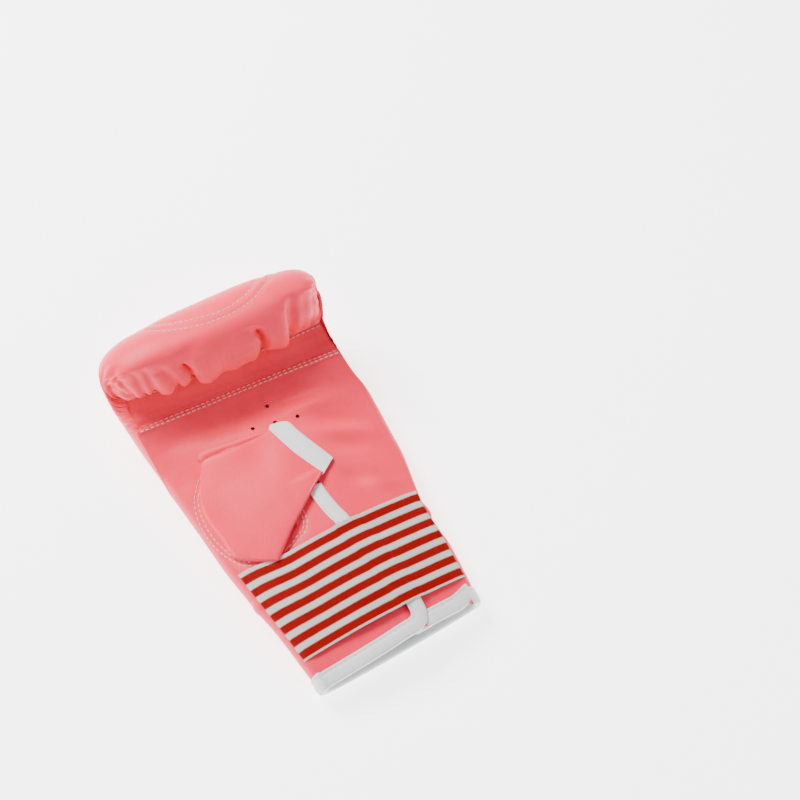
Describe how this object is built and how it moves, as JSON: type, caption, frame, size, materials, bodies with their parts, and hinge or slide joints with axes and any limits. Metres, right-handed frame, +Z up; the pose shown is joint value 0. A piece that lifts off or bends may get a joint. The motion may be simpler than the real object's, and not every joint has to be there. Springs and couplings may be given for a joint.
{
  "type": "bag glove, left hand",
  "caption": "Padded bag glove for the left hand, palm up: curled fist pad, open thumb stall, striped wrist elastic and bound slit cuff.",
  "frame": {"origin": "on the floor under the middle of the glove's bounding box", "axes": "+X across the glove from the thumb to the little finger, +Y from the wrist to the knuckles, +Z up from the padded back that it lies on to the palm"},
  "size_m": [0.1454, 0.2378, 0.0789],
  "materials": {
    "pink_vinyl": "semi-matte grained vinyl",
    "white_binding": "satin vinyl tape",
    "striped_elastic": "ribbed woven elastic in red and white stripes",
    "patch_cloth": "woven label cloth with a red stitched border"
  },
  "bodies": {
    "root": {"padded_back": "pink_vinyl", "palm_panel": "pink_vinyl", "finger_panel": "pink_vinyl", "thumb_stall": "pink_vinyl", "cuff_back": "pink_vinyl", "wrist_elastic": "striped_elastic", "thumb_flap_binding": "white_binding", "little_flap_binding": "white_binding", "cuff_binding": "white_binding", "label_patch": "patch_cloth"}
  },
  "joints": []
}
